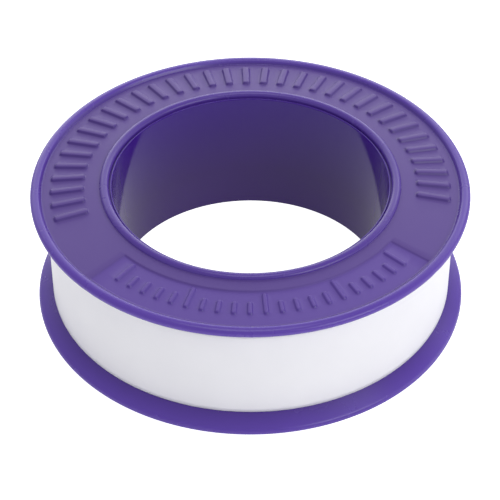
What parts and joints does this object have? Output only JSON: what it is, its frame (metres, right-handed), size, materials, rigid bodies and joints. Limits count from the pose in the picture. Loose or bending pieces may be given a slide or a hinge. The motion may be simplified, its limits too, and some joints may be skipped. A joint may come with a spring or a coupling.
{
  "type": "thread_seal_tape_roll",
  "caption": "Roll of white thread seal tape on an open-bored violet plastic spool, with grip ribs and a plain scale on the upper flange.",
  "frame": {"origin": "on the bore's axis, in the plane that the roll stands on", "axes": "+Z along the bore's axis, from the lower flange to the upper one; the sunk panel is towards -Y"},
  "size_m": [0.053, 0.053, 0.0172],
  "materials": {
    "spool_plastic": "satin moulded polypropylene with polished rims",
    "tape_film": "smooth unsintered film, slightly waxy"
  },
  "bodies": {
    "spool": {"spool_hub": "spool_plastic", "upper_flange": "spool_plastic", "tape_winding": "tape_film", "tape_outer_turn": "tape_film"},
    "tail": {"tape_tail": "tape_film"}
  },
  "joints": [
    {"name": "tail_peel", "type": "hinge", "parent": "spool", "child": "tail", "pos_m": [0.00836, 0.02342, 0.00827], "axis": [0, 0, -1], "range_deg": [0, 100]}
  ]
}
